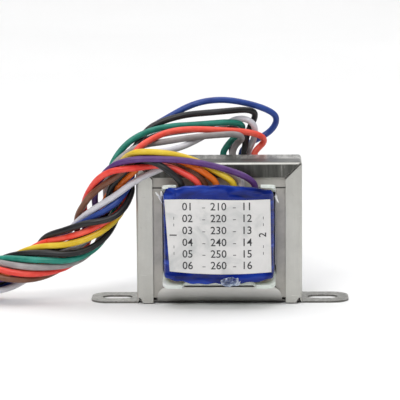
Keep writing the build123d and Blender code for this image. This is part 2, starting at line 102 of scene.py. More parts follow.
def cloudy(tree, source, scale, detail, roughness, distortion=0.0):
    """Noise value over the coordinates."""
    noise = tree.nodes.new("ShaderNodeTexNoise")
    noise.inputs["Scale"].default_value = scale
    noise.inputs["Detail"].default_value = detail
    noise.inputs["Roughness"].default_value = roughness
    noise.inputs["Distortion"].default_value = distortion
    tree.links.new(source, noise.inputs["Vector"])
    return noise.outputs["Fac"]


def waves(tree, source, direction, scale, distortion):
    """Bands of a wave pattern across the coordinates."""
    wave = tree.nodes.new("ShaderNodeTexWave")
    wave.bands_direction = direction
    wave.inputs["Scale"].default_value = scale
    wave.inputs["Distortion"].default_value = distortion
    tree.links.new(source, wave.inputs["Vector"])
    return wave.outputs["Fac"]


def ramp(tree, value, stops):
    """Colour ramp; stops are (place, (red, green, blue)) from low to high."""
    node = tree.nodes.new("ShaderNodeValToRGB")
    elements = node.color_ramp.elements
    for index, (place, color) in enumerate(stops):
        element = elements[index] if index < 2 else elements.new(place)
        element.position = place
        element.color = (*color, 1.0)
    tree.links.new(value, node.inputs["Fac"])
    return node.outputs["Color"]


def mixed(tree, factor, first, second):
    """Blend of two colours by a factor."""
    node = tree.nodes.new("ShaderNodeMix")
    node.data_type = "RGBA"
    for socket, value in ((0, factor), (6, first), (7, second)):
        if isinstance(value, tuple):
            node.inputs[socket].default_value = (*value, 1.0)
        else:
            tree.links.new(value, node.inputs[socket])
    return node.outputs[2]


def spread(tree, value, low, high, out_low, out_high):
    """Value mapped from one range to another, held at its ends."""
    node = tree.nodes.new("ShaderNodeMapRange")
    for key, number in (("From Min", low), ("From Max", high), ("To Min", out_low), ("To Max", out_high)):
        node.inputs[key].default_value = number
    tree.links.new(value, node.inputs["Value"])
    return node.outputs["Result"]


def raised(tree, shader, height, strength, distance, under=None):
    """Bump from a height value, over an earlier bump if one is given."""
    node = tree.nodes.new("ShaderNodeBump")
    node.inputs["Strength"].default_value = strength
    node.inputs["Distance"].default_value = distance
    tree.links.new(height, node.inputs["Height"])
    if under is not None:
        tree.links.new(under, node.inputs["Normal"])
    tree.links.new(node.outputs["Normal"], shader.inputs["Normal"])
    return node.outputs["Normal"]


def axis_value(tree, source, axis):
    """One coordinate out of a vector."""
    node = tree.nodes.new("ShaderNodeSeparateXYZ")
    tree.links.new(source, node.inputs["Vector"])
    return node.outputs[axis]


def math_node(tree, operation, first, second=None):
    """One arithmetic step on one or two values."""
    node = tree.nodes.new("ShaderNodeMath")
    node.operation = operation
    for socket, value in enumerate((first, second)):
        if isinstance(value, (int, float)):
            node.inputs[socket].default_value = value
        elif value is not None:
            tree.links.new(value, node.inputs[socket])
    return node.outputs["Value"]


def dress(material, *node_names):
    """Give CAD nodes their finished material."""
    for node_name in node_names:
        for slot in nodes[node_name].material_slots:
            slot.material = material


# Leads, in millimetres
LEAD_DIAMETER = 1.65
LEAD_RISE = 2.0
COIL_BELT_TOP = 28.9
TWIST_RADIUS = 4.1
TWIST_SLOT_COUNT = 12
CORE_RADIUS = 1.25
TWIST_STEP_DEGREES = 25.0
TWIST_START_DEGREES = -85.0
CORE_START_DEGREES = -5.0

# Slot of each lead round the twist, the leads inside it, and how many stations each one skips
twist_slots = {
    "black_loop": 0, "red_rear": 1, "yellow": 2, "black_rear": 3, "green": 4, "grey": 5,
    "red_front": 7, "brown": 8, "white_front": 10, "blue": 11,
}
core_order = ["violet", "black_front", "white_rear", "orange"]
join_counts = {
    "violet": 3, "yellow": 1, "orange": 1, "red_front": 4, "brown": 6, "black_front": 2,
    "white_front": 1, "black_loop": 9, "black_rear": 1, "red_rear": 1, "white_rear": 2, "blue": 1,
}

# Leads that slide into a free slot, and how far they have slid at each station
late_slide_shares = [0.0] * 5 + [0.35, 0.7] + [1.0] * 11
early_slide_shares = [0.0, 0.2, 0.45, 0.65, 0.65, 0.6, 0.4, 0.15] + [0.0] * 10
slides = {
    "red_front": late_slide_shares, "brown": late_slide_shares,
    "red_rear": early_slide_shares, "yellow": early_slide_shares,
}

# Middle of the twisted bundle, station by station, and how far the twist opens at each
bundle_points = [
    (-26.1, -5.5, 30.9), (-27.2, -5.5, 27.8), (-28.8, -5.5, 25.0), (-30.4, -5.5, 22.3),
    (-32.2, -5.5, 19.6), (-34.5, -5.5, 17.1), (-37.2, -5.5, 15.0), (-40.2, -5.5, 13.4),
    (-43.2, -5.5, 12.1), (-46.4, -5.5, 10.6), (-49.8, -5.4, 9.2), (-53.2, -5.1, 8.1),
    (-56.7, -4.6, 7.2), (-60.2, -3.8, 6.6), (-63.6, -2.6, 6.2), (-66.9, -1.0, 6.1),
    (-70.0, 0.9, 6.3), (-72.9, 3.1, 6.8),
]
twist_shares = [1.0] * 15 + [1.05, 1.12, 1.2]

# Free part of each lead: its exit in plan, then the points it passes before it joins the twist
lead_points = {
    "violet": [
        (9.3, -12.2),
        (8.6, -12.3, 32.3), (6.4, -12.5, 33.8), (3.1, -12.8, 35.1), (-1.1, -13.0, 36.4),
        (-5.6, -13.1, 37.4), (-10.2, -13.1, 38.0), (-14.7, -13.0, 38.2), (-19.0, -13.0, 38.3),
        (-22.5, -12.8, 37.9), (-25.6, -12.2, 37.0), (-28.1, -10.3, 35.1), (-30.1, -8.1, 32.5),
        (-31.5, -6.3, 29.5), (-31.8, -5.8, 27.0),
    ],
    "yellow": [
        (4.1, -13.2),
        (3.5, -13.0, 32.3), (1.7, -12.4, 33.6), (-1.0, -11.4, 35.0), (-4.2, -11.1, 36.7),
        (-7.9, -11.5, 38.3), (-12.5, -12.0, 39.5), (-16.7, -12.3, 39.9), (-19.2, -12.4, 40.0),
        (-21.4, -11.6, 39.6), (-23.5, -8.2, 38.1), (-25.2, -5.0, 35.9), (-26.0, -3.5, 33.2),
        (-25.3, -3.3, 30.0),
    ],
    "orange": [
        (-0.3, -12.6),
        (-0.9, -12.6, 32.5), (-2.4, -12.4, 33.7), (-4.0, -12.2, 34.9), (-5.9, -11.6, 35.9),
        (-8.2, -10.6, 36.7), (-10.8, -9.4, 37.5), (-13.6, -8.4, 38.0), (-16.4, -8.2, 37.9),
        (-18.7, -8.2, 37.1), (-20.5, -8.6, 35.5), (-22.1, -8.7, 33.9), (-24.0, -8.2, 32.1),
        (-25.8, -7.3, 30.0),
    ],
    "red_front": [
        (-4.7, -13.6),
        (-5.4, -13.5, 32.4), (-6.8, -13.1, 33.5), (-8.7, -12.5, 34.5), (-10.7, -11.9, 35.4),
        (-12.9, -11.5, 36.1), (-15.2, -10.7, 36.3), (-17.5, -10.2, 36.0), (-19.1, -10.9, 35.9),
        (-20.8, -12.2, 35.8), (-23.8, -13.0, 35.7), (-27.2, -12.6, 35.1), (-30.2, -10.3, 33.2),
        (-32.3, -7.9, 30.6), (-33.8, -6.0, 27.8), (-34.8, -4.0, 24.9), (-34.3, -2.4, 22.1),
    ],
    "brown": [
        (-3.2, -11.0),
        (-4.0, -10.9, 32.2), (-5.3, -10.7, 33.4), (-7.2, -10.4, 34.4), (-9.5, -10.2, 35.1),
        (-11.8, -10.1, 36.2), (-14.1, -10.1, 37.6), (-16.3, -10.2, 38.4), (-18.6, -10.3, 38.8),
        (-20.7, -10.8, 38.2), (-22.7, -11.0, 36.5), (-24.6, -11.3, 34.6), (-26.7, -10.9, 32.9),
        (-28.8, -10.2, 31.5), (-30.8, -9.5, 30.0), (-32.8, -8.6, 28.1), (-34.6, -6.8, 25.6),
        (-36.2, -4.8, 22.8), (-36.7, -2.8, 20.1),
    ],
    "black_front": [
        (-9.2, -13.2),
        (-9.6, -13.3, 32.5), (-10.7, -13.4, 33.7), (-12.1, -13.3, 34.9), (-13.8, -13.0, 36.1),
        (-15.7, -12.2, 37.1), (-17.9, -11.3, 37.5), (-20.3, -10.0, 37.0), (-22.5, -9.5, 35.6),
        (-24.7, -9.0, 33.6), (-26.8, -8.2, 31.3), (-28.1, -7.2, 28.7),
    ],
    "white_front": [
        (5.8, -10.4),
        (5.8, -10.3, 32.1), (4.4, -10.1, 33.5), (1.8, -9.5, 34.9), (-1.7, -8.8, 35.9),
        (-5.5, -8.5, 36.2), (-9.1, -8.5, 36.2), (-12.4, -8.5, 35.9), (-14.9, -8.5, 35.0),
        (-17.4, -8.6, 33.9), (-20.1, -9.0, 32.7), (-22.7, -9.6, 31.1), (-24.8, -9.9, 29.5),
    ],
    "green": [
        (1.0, 11.0),
        (0.7, 11.2, 36.3), (1.5, 11.8, 37.7), (2.6, 12.6, 39.1), (4.2, 13.4, 40.5), (5.5, 13.4, 41.8),
        (6.1, 12.6, 43.2), (5.0, 11.2, 44.3), (2.4, 10.2, 44.7), (-1.5, 9.6, 44.5), (-6.6, 8.8, 44.2),
        (-12.6, 7.8, 44.0), (-17.7, 6.6, 43.1), (-22.1, 4.9, 41.3), (-25.1, 3.4, 38.8),
        (-27.1, 1.6, 36.0), (-28.1, 0.0, 33.6),
    ],
    "grey": [
        (3.4, 9.9),
        (3.3, 9.8, 36.3), (3.6, 9.7, 37.8), (4.6, 9.3, 39.3), (5.8, 8.6, 40.3), (5.6, 7.2, 41.5),
        (3.5, 5.8, 42.1), (0.2, 5.0, 42.0), (-4.0, 4.2, 41.8), (-9.1, 3.3, 41.3), (-14.5, 2.6, 40.5),
        (-19.4, 2.0, 39.9), (-23.1, 1.2, 38.4), (-26.0, -0.6, 36.2), (-27.8, -2.2, 34.1),
    ],
    "red_rear": [
        (9.0, 12.4),
        (8.9, 12.4, 36.1), (9.7, 12.8, 37.2), (10.9, 13.0, 38.3), (11.7, 12.4, 39.5),
        (11.0, 11.0, 40.8), (8.9, 9.8, 41.8), (5.3, 8.6, 42.5), (0.6, 7.4, 42.9), (-4.5, 6.4, 43.3),
        (-9.4, 5.4, 43.4), (-13.8, 4.0, 42.8), (-17.3, 1.2, 41.5), (-20.3, -1.2, 39.9),
        (-22.5, -2.2, 37.2), (-23.8, -3.3, 34.1), (-23.8, -4.3, 30.6),
    ],
    "black_loop": [
        (6.2, 10.6),
        (6.3, 10.7, 36.4), (6.6, 10.9, 38.2), (6.8, 12.0, 40.0), (7.4, 13.4, 41.8), (8.2, 13.6, 43.6),
        (9.2, 13.2, 45.5), (9.1, 12.2, 47.2), (6.5, 11.0, 47.9), (1.7, 9.8, 47.6), (-3.5, 9.6, 47.2),
        (-8.7, 9.2, 46.8), (-13.6, 8.8, 45.6), (-17.7, 8.6, 43.9), (-20.0, 7.6, 41.6),
        (-21.5, 4.7, 39.4), (-23.1, 2.7, 37.0), (-23.9, 1.2, 34.5), (-23.2, -0.9, 31.9),
        (-22.1, -4.4, 29.6), (-22.8, -7.6, 27.1), (-24.6, -10.1, 24.4), (-27.5, -10.9, 22.6),
        (-30.8, -11.2, 22.0), (-33.8, -10.8, 21.5), (-36.7, -9.8, 20.5), (-39.7, -8.8, 19.3),
        (-42.7, -7.0, 18.2), (-45.2, -4.2, 16.6),
    ],
    "black_rear": [
        (3.2, 13.4),
        (3.2, 13.8, 36.0), (3.0, 15.0, 37.4), (3.5, 16.2, 38.9), (4.4, 17.0, 40.3), (4.9, 16.6, 41.7),
        (3.4, 15.4, 42.6), (0.5, 14.4, 42.8), (-3.4, 13.2, 42.7), (-7.8, 12.0, 42.4),
        (-12.7, 10.8, 42.0), (-17.4, 9.4, 41.1), (-21.3, 7.1, 39.3), (-24.2, 4.6, 36.8),
        (-25.9, 2.4, 33.9), (-26.2, 0.2, 30.7),
    ],
    "white_rear": [
        (7.8, 14.1),
        (7.5, 14.3, 36.1), (7.9, 13.4, 37.7), (8.8, 12.9, 39.6), (9.3, 11.8, 42.0), (8.8, 11.0, 44.2),
        (6.9, 11.2, 45.4), (4.4, 12.6, 45.3), (2.0, 13.0, 44.1), (-1.0, 11.6, 42.6), (-4.8, 6.8, 41.0),
        (-8.6, 3.2, 39.5), (-12.6, -0.6, 38.7), (-16.6, -2.8, 38.6), (-19.6, -4.0, 38.4),
        (-22.2, -4.9, 36.9), (-24.0, -5.2, 34.7), (-25.2, -5.4, 32.5), (-26.3, -4.8, 29.9),
    ],
    "blue": [
        (5.4, 12.9),
        (5.5, 13.2, 36.1), (6.4, 14.6, 37.4), (8.0, 16.0, 38.6), (10.5, 17.0, 39.7),
        (13.1, 17.4, 41.2), (14.8, 16.8, 43.5), (14.7, 15.8, 45.9), (11.6, 14.6, 47.8),
        (6.9, 13.6, 49.3), (1.7, 12.8, 50.3), (-3.6, 12.2, 50.1), (-8.3, 11.8, 48.7),
        (-12.8, 11.6, 46.2), (-16.9, 11.2, 43.9), (-19.9, 10.2, 41.5), (-21.4, 9.4, 39.1),
        (-22.1, 6.8, 37.0), (-22.3, 2.7, 34.9), (-22.3, -2.0, 32.7), (-22.7, -6.6, 30.8),
    ],
}

# Each lead: its real length in metres, the name of its colour, its insulation colour and its worn colour
leads = {
    "violet": (0.107, "violet", (0.066, 0.016, 0.135), (0.14, 0.062, 0.23)),
    "yellow": (0.108, "yellow", (0.70, 0.45, 0.008), (0.82, 0.60, 0.05)),
    "orange": (0.094, "orange", (0.70, 0.115, 0.004), (0.84, 0.20, 0.02)),
    "red_front": (0.102, "red", (0.74, 0.025, 0.020), (0.88, 0.10, 0.07)),
    "brown": (0.101, "brown", (0.115, 0.035, 0.016), (0.24, 0.105, 0.06)),
    "black_front": (0.086, "black", (0.006, 0.006, 0.007), (0.022, 0.022, 0.024)),
    "white_front": (0.103, "white", (0.58, 0.575, 0.62), (0.73, 0.72, 0.76)),
    "green": (0.127, "green", (0.004, 0.165, 0.115), (0.03, 0.30, 0.23)),
    "grey": (0.120, "grey", (0.25, 0.225, 0.225), (0.40, 0.37, 0.37)),
    "red_rear": (0.125, "red", (0.86, 0.050, 0.028), (0.95, 0.15, 0.10)),
    "black_loop": (0.137, "black", (0.006, 0.006, 0.007), (0.022, 0.022, 0.024)),
    "black_rear": (0.122, "black", (0.007, 0.007, 0.008), (0.025, 0.025, 0.027)),
    "white_rear": (0.122, "white", (0.58, 0.575, 0.62), (0.73, 0.72, 0.76)),
    "blue": (0.149, "blue", (0.008, 0.030, 0.20), (0.03, 0.08, 0.34)),
}


def bundle_directions(station):
    """Unit vectors in front of and above the bundle, square to the line between its neighbour stations."""
    before = Vector(bundle_points[max(station - 1, 0)])
    after = Vector(bundle_points[min(station + 1, len(bundle_points) - 1)])
    along = (after - before).normalized()
    front = Vector((-along.y, along.x, 0)).normalized()
    return front, along.cross(front)


def twist_place(name, station):
    """Distance from the middle of the bundle and angle round it, turned on by each station."""
    turned = station * TWIST_STEP_DEGREES
    if name in core_order:
        share = core_order.index(name) / len(core_order)
        return CORE_RADIUS, CORE_START_DEGREES - 360 * share + turned
    slot = twist_slots[name]
    if name in slides:
        slot -= slides[name][station]
    degrees = TWIST_START_DEGREES - 360 * slot / TWIST_SLOT_COUNT + turned
    return TWIST_RADIUS * twist_shares[station], degrees


def lead_route(name):
    """Control points of one lead in metres: its exit, its free part, then its helix in the bundle."""
    exit_x, exit_y = lead_points[name][0]
    route = [(exit_x, exit_y, COIL_BELT_TOP), (exit_x, exit_y, COIL_BELT_TOP + LEAD_RISE)]
    route += lead_points[name][1:]
    for station in range(join_counts.get(name, 0), len(bundle_points)):
        front, above = bundle_directions(station)
        reach, degrees = twist_place(name, station)
        turn = math.radians(degrees)
        aside = (front * math.cos(turn) + above * math.sin(turn)) * reach
        route.append(Vector(bundle_points[station]) + aside)
    return [Vector(point) * MM for point in route]


def make_lead(name, material):
    """Round insulated lead: a NURBS spline with the route's points as its control points."""
    route = lead_route(name)
    curve = bpy.data.curves.new("wire_" + name, "CURVE")
    curve.dimensions = "3D"
    curve.bevel_depth = LEAD_DIAMETER / 2 * MM
    curve.bevel_resolution = 5
    curve.resolution_u = 8
    curve.use_fill_caps = True
    spline = curve.splines.new("NURBS")
    spline.points.add(len(route) - 1)
    spline.points.foreach_set("co", np.array([(*point, 1.0) for point in route]).ravel())
    spline.order_u = 3
    spline.use_endpoint_u = True
    curve.materials.append(material)
    wire = bpy.data.objects.new("wire_" + name, curve)
    bpy.context.scene.collection.objects.link(wire)
    return wire, route[0]


def insulation_finish(name, color, worn):
    """Extruded lead insulation: clouded colour, faint handling smears, a fine grain and uneven sheen."""
    material, tree, shader, place = new_finish(name, roughness=0.34, ior=1.42)
    clouds = cloudy(tree, place, 260.0, 5.0, 0.6)
    tint = ramp(tree, clouds, [(0.3, color), (0.72, worn)])
    smears = cloudy(tree, place, 900.0, 3.0, 0.5, 1.5)
    smeared = mixed(tree, spread(tree, smears, 0.62, 0.8, 0.0, 0.35), tint, worn)
    tree.links.new(smeared, shader.inputs["Base Color"])
    tree.links.new(spread(tree, clouds, 0.3, 0.7, 0.26, 0.44), shader.inputs["Roughness"])
    raised(tree, shader, cloudy(tree, place, 1800.0, 4.0, 0.6), 0.16, 0.00006)
    return material


def strand_finish():
    """Twisted tinned strands: slanting bright and dark lines."""
    material, tree, shader, place = new_finish("tinned_strands", roughness=0.28, metallic=1.0)
    lines = waves(tree, place, "DIAGONAL", 900.0, 1.5)
    tint = ramp(tree, lines, [(0.2, (0.42, 0.40, 0.38)), (0.8, (0.82, 0.80, 0.77))])
    tree.links.new(tint, shader.inputs["Base Color"])
    raised(tree, shader, lines, 0.6, 0.0001)
    return material


strands = strand_finish()
for lead_name, (length, color_name, color, worn) in leads.items():
    material = insulation_finish(color_name + "_insulation_" + lead_name, color, worn)
    wire, start = make_lead(lead_name, material)
    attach(wire, "root")
    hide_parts("lead_" + lead_name)
for lead_name in leads:
    dress(strands, "tip_" + lead_name)

# Metal, bobbin and paper, in millimetres
FRAME_FOOT, FRAME_TOP = (corner[2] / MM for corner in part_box("channel_frame"))
JOINT_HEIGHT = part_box("i_laminations")[0][2] / MM

# Edges that the finishes change across: where each change starts and where it ends
FLANGE_FRONT = (-7.0, -7.4)
FLANGE_ROLL = (35.8, 36.2)
EAR_ROOT = (20.9, 21.2)
EAR_TOP = (1.3, 1.7)
EAR_CUT_EDGE = (FRAME_FOOT + 0.40, FRAME_FOOT + 0.46)
# Span over which the ears grow darker towards +X
EAR_DARKENING_SPAN = (0.0, 22.0)
TOP_FACE = (FRAME_TOP - 0.3, FRAME_TOP - 0.1)
# Edge where the painted reflection on the top changes from its dark front to streaks
TOP_DARK_EDGE = (-1.6, 0.2)
JOINT_SIDES = (0.12, 0.26)
# Edges of the painted shadow low in the core's window
SHADOW_SIDES = (14.0, 14.6)
SHADOW_TOP = (5.0, 6.4)
# Edges of the painted shadow on the bobbin beside the coil
GAP_SHADOW_SIDES = (13.70, 13.85)
GAP_SHADOW_FOOT = (9.0, 10.4)
GAP_SHADOW_TOP = (26.8, 28.0)
LACQUER_RIM = (0.4, 0.9)
# Top of the painted shade at the clip's foot
CLIP_SHADE_TOP = (0.3, 3.6)

# The mitres slant at 45 degrees, so along each the height less the distance from the middle is even
FLANGE_MITRE = (15.5, 15.8)
MITRE_REACH = 15.4
SEAM_SIDES = (0.18, 0.36)

# Middle of the dab of lacquer on the bobbin
LACQUER_PLACE = (11.2, -15.1, 7.4)

# Colours of the plating, and the black of the core's joint and of its painted shadow
PLATING_LIGHT = (0.61, 0.605, 0.565)
PLATING_DARK = (0.46, 0.455, 0.425)
JOINT_AND_SHADOW_BLACK = (0.02, 0.018, 0.017)


def across_edge(tree, value, edge, before=0.0, after=1.0):
    """Mask that changes from one amount to the other across an edge given in millimetres."""
    return spread(tree, value, edge[0] * MM, edge[1] * MM, before, after)


def distance(tree, value, middle):
    """How far a value is from its middle, either way."""
    return math_node(tree, "ABSOLUTE", math_node(tree, "SUBTRACT", value, middle))


def product(tree, first, *others):
    """Masks multiplied together."""
    for other in others:
        first = math_node(tree, "MULTIPLY", first, other)
    return first


def top_flange_masks(tree, place):
    """Masks of the top flange's face, between its roll and its mitres, and of the seams along those."""
    height = axis_value(tree, place, 2)
    reach = math_node(tree, "SUBTRACT", height, distance(tree, axis_value(tree, place, 0), 0.0))
    front = across_edge(tree, axis_value(tree, place, 1), FLANGE_FRONT)
    below_roll = across_edge(tree, height, FLANGE_ROLL, 1.0, 0.0)
    face = product(tree, front, below_roll, across_edge(tree, reach, FLANGE_MITRE))
    from_mitre = distance(tree, reach, MITRE_REACH * MM)
    return face, product(tree, front, across_edge(tree, from_mitre, SEAM_SIDES, 0.95, 0.0))


def sheet_color(tree, place, clouds, rolled, pits):
    """Plain plated sheet: cloudy tarnish with rolling streaks, then dark pits, then fine bright scratches."""
    tint = ramp(tree, clouds, [(0.28, PLATING_DARK), (0.62, PLATING_LIGHT)])
    lined = mixed(tree, spread(tree, rolled, 0.35, 0.75, 0.0, 0.45), tint, PLATING_DARK)
    spotted = mixed(tree, spread(tree, pits, 0.70, 0.80, 0.0, 0.5), lined, (0.20, 0.18, 0.16))
    scratches = cloudy(tree, stretched(tree, place, (300.0, 40.0, 2600.0)), 1.0, 2.0, 0.4, 0.8)
    return mixed(tree, spread(tree, scratches, 0.72, 0.80, 0.0, 0.55), spotted, (0.86, 0.85, 0.82))


def ear_shade_color(tree, place, clouds):
    """Ears: painted shade on their flat tops, darker towards +X, speckled dark and bright, with a dark cut
    edge.
    """
    # Painted shade: the ears' flat tops are painted darker than the upright sheet.
    ear_shade = ramp(tree, clouds, [(0.3, (0.26, 0.25, 0.225)), (0.7, (0.40, 0.39, 0.36))])
    rightward = across_edge(tree, axis_value(tree, place, 0), EAR_DARKENING_SPAN, 0.0, 0.5)
    darker_rightward = mixed(tree, rightward, ear_shade, (0.11, 0.108, 0.10))
    speckle = cloudy(tree, place, 1100.0, 4.0, 0.7)
    speckled = mixed(tree, spread(tree, speckle, 0.50, 0.60, 0.0, 0.6), darker_rightward, (0.05, 0.05, 0.046))
    flecked = mixed(tree, spread(tree, speckle, 0.36, 0.44, 0.6, 0.0), speckled, (0.62, 0.61, 0.58))
    cut_edge = across_edge(tree, axis_value(tree, place, 2), EAR_CUT_EDGE, 0.7, 0.0)
    return mixed(tree, cut_edge, flecked, (0.045, 0.045, 0.04))


def top_face_reflection_color(tree, place, rolled):
    """Top of the frame, painted reflection: dark along its front, streaky dark and bright behind."""
    reflection_streaks = ramp(tree, rolled, [(0.40, (0.14, 0.14, 0.13)), (0.58, (0.50, 0.49, 0.47))])
    behind = across_edge(tree, axis_value(tree, place, 1), TOP_DARK_EDGE)
    return mixed(tree, behind, (0.09, 0.09, 0.085), reflection_streaks)


def plated_finish():
    """Zinc plated sheet, dark mitre seams; painted reflection on the top flange and top, painted shade on the
    ears.
    """
    material, tree, shader, place = new_finish("plated_sheet", roughness=0.36, metallic=0.75, ior=1.9)
    height = axis_value(tree, place, 2)
    clouds = cloudy(tree, place, 90.0, 6.0, 0.62)
    rolled = cloudy(tree, stretched(tree, place, (500.0, 60.0, 45.0)), 1.0, 6.0, 0.65)
    pits = cloudy(tree, place, 1400.0, 3.0, 0.5)
    painted_reflection_face, seam = top_flange_masks(tree, place)
    # Painted reflection: the top flange's face is painted dark with bright streaks, as if it reflected dark
    # surroundings.
    streaks = [(0.40, (0.045, 0.045, 0.04)), (0.62, (0.10, 0.10, 0.09)), (0.70, (0.55, 0.54, 0.51))]
    plain = sheet_color(tree, place, clouds, rolled, pits)
    faced = mixed(tree, painted_reflection_face, plain, ramp(tree, rolled, streaks))
    seamed = mixed(tree, seam, faced, (0.03, 0.03, 0.027))
    # Painted shade on the ears' flat tops, mixed in below
    outside = across_edge(tree, distance(tree, axis_value(tree, place, 0), 0.0), EAR_ROOT, 0.0, 0.9)
    ears = product(tree, across_edge(tree, height, EAR_TOP, 1.0, 0.0), outside)
    footed = mixed(tree, ears, seamed, ear_shade_color(tree, place, clouds))
    # Painted reflection on the frame's top face
    topped = mixed(tree, across_edge(tree, height, TOP_FACE), footed, top_face_reflection_color(tree, place, rolled))
    tree.links.new(topped, shader.inputs["Base Color"])
    tree.links.new(spread(tree, clouds, 0.3, 0.7, 0.30, 0.46), shader.inputs["Roughness"])
    under = raised(tree, shader, pits, 0.25, 0.00008)
    raised(tree, shader, rolled, 0.18, 0.0001, under)
    return material


def core_finish():
    """Cut faces of silicon steel: matt, blotched, a little rusty, the joint dark, painted shadow at the
    window's foot.
    """
    material, tree, shader, place = new_finish("core_steel", roughness=0.55, metallic=0.55, ior=1.8)
    clouds = cloudy(tree, place, 160.0, 7.0, 0.65)
    blotches = [(0.25, (0.34, 0.325, 0.30)), (0.55, (0.50, 0.48, 0.445)), (0.8, (0.62, 0.60, 0.56))]
    rust = cloudy(tree, place, 420.0, 5.0, 0.6, 0.6)
    rusty = spread(tree, rust, 0.64, 0.80, 0.0, 0.45)
    aged = mixed(tree, rusty, ramp(tree, clouds, blotches), (0.26, 0.15, 0.085))
    height = axis_value(tree, place, 2)
    joint = across_edge(tree, distance(tree, height, JOINT_HEIGHT * MM), JOINT_SIDES, 0.92, 0.0)
    inner = across_edge(tree, distance(tree, axis_value(tree, place, 0), 0.0), SHADOW_SIDES, 0.9, 0.0)
    # Painted shadow: the core is painted black low in the window, under the coil's overhang.
    window_foot_shadow = product(tree, across_edge(tree, height, SHADOW_TOP, 1.0, 0.0), inner)
    tree.links.new(mixed(tree, window_foot_shadow, mixed(tree, joint, aged, JOINT_AND_SHADOW_BLACK), JOINT_AND_SHADOW_BLACK), shader.inputs["Base Color"])
    tree.links.new(spread(tree, clouds, 0.2, 0.8, 0.46, 0.66), shader.inputs["Roughness"])
    lines = cloudy(tree, stretched(tree, place, (1500.0, 1500.0, 60.0)), 1.0, 3.0, 0.5)
    raised(tree, shader, lines, 0.22, 0.00008)
    return material


def nylon_finish():
    """Natural nylon: milky, faintly green, painted black shadow beside the coil, and a dab of lacquer."""
    material, tree, shader, place = new_finish("bobbin_nylon", roughness=0.36, ior=1.53)
    shader.inputs["Subsurface Radius"].default_value = (0.0022, 0.0024, 0.0020)
    shader.inputs["Subsurface Scale"].default_value = 1.0
    clouds = cloudy(tree, place, 240.0, 5.0, 0.6)
    tint = ramp(tree, clouds, [(0.3, (0.62, 0.70, 0.63)), (0.7, (0.80, 0.86, 0.80))])
    dab = tree.nodes.new("ShaderNodeVectorMath")
    dab.operation = "DISTANCE"
    dab.inputs[1].default_value = [value * MM for value in LACQUER_PLACE]
    tree.links.new(place, dab.inputs[0])
    spot = across_edge(tree, dab.outputs["Value"], LACQUER_RIM, 1.0, 0.0)
    spotted = mixed(tree, spot, tint, (0.45, 0.50, 0.05))
    height = axis_value(tree, place, 2)
    # Painted shadow: the bobbin is painted black in the shaded gap beside the coil, with no subsurface there.
    above = across_edge(tree, height, GAP_SHADOW_FOOT)
    below = across_edge(tree, height, GAP_SHADOW_TOP, 1.0, 0.0)
    beside = across_edge(tree, distance(tree, axis_value(tree, place, 0), 0.0), GAP_SHADOW_SIDES, 0.0, 0.97)
    gap_shadow = product(tree, beside, above, below)
    tree.links.new(mixed(tree, gap_shadow, spotted, (0.010, 0.010, 0.012)), shader.inputs["Base Color"])
    tree.links.new(spread(tree, gap_shadow, 0.0, 1.0, 0.5, 0.0), shader.inputs["Subsurface Weight"])
    raised(tree, shader, clouds, 0.2, 0.0002)
    return material


def copper_finish():
    """Layers of enamelled copper turns: fine ridges stacked up the coil."""
    material, tree, shader, place = new_finish("copper_turns", roughness=0.3, metallic=1.0)
    turns = waves(tree, place, "Z", 700.0, 1.2)
    tint = ramp(tree, turns, [(0.1, (0.24, 0.07, 0.03)), (0.9, (0.72, 0.30, 0.14))])
    tree.links.new(tint, shader.inputs["Base Color"])
    raised(tree, shader, turns, 0.7, 0.0002)
    return material


def paper_finish(name, light, dark):
    """Fibrous winding paper with soft mottling."""
    material, tree, shader, place = new_finish(name, roughness=0.8)
    fibres = cloudy(tree, stretched(tree, place, (900.0, 900.0, 300.0)), 1.0, 6.0, 0.7)
    tree.links.new(ramp(tree, fibres, [(0.3, dark), (0.7, light)]), shader.inputs["Base Color"])
    raised(tree, shader, fibres, 0.3, 0.0001)
    return material


def clip_finish():
    """Rolled clip: the same plating, light along its top, painted shade darkening it towards its foot."""
    material, tree, shader, place = new_finish("clip_plating", roughness=0.38, metallic=0.7, ior=1.9)
    clouds = cloudy(tree, stretched(tree, place, (60.0, 60.0, 240.0)), 1.0, 6.0, 0.62)
    tint = ramp(tree, clouds, [(0.3, (0.58, 0.57, 0.54)), (0.7, (0.78, 0.77, 0.74))])
    # Painted shade: the clip is painted darker towards its foot.
    low = across_edge(tree, axis_value(tree, place, 2), CLIP_SHADE_TOP, 1.0, 0.0)
    shaded_foot = mixed(tree, low, tint, (0.16, 0.155, 0.145))
    scratches = cloudy(tree, stretched(tree, place, (260.0, 200.0, 1800.0)), 1.0, 3.0, 0.5, 1.0)
    scratched = mixed(tree, spread(tree, scratches, 0.68, 0.78, 0.0, 0.5), shaded_foot, (0.80, 0.79, 0.77))
    tree.links.new(scratched, shader.inputs["Base Color"])
    tree.links.new(spread(tree, clouds, 0.3, 0.7, 0.30, 0.48), shader.inputs["Roughness"])
    raised(tree, shader, scratches, 0.2, 0.00008)
    return material


dress(plated_finish(), "channel_frame")
dress(clip_finish(), "base_clip")
dress(core_finish(), "e_laminations", "i_laminations")
dress(nylon_finish(), "bobbin")
dress(copper_finish(), "primary_winding", "secondary_winding")
dress(paper_finish("insulation_paper", (0.72, 0.62, 0.42), (0.52, 0.42, 0.26)), "winding_insulation")
dress(paper_finish("wrap_paper", (0.76, 0.68, 0.50), (0.58, 0.49, 0.33)), "coil_wrap")

# Surfaces, and the outward way of those on the coil's front
FORWARD = (0.0, -1.0, 0.0)


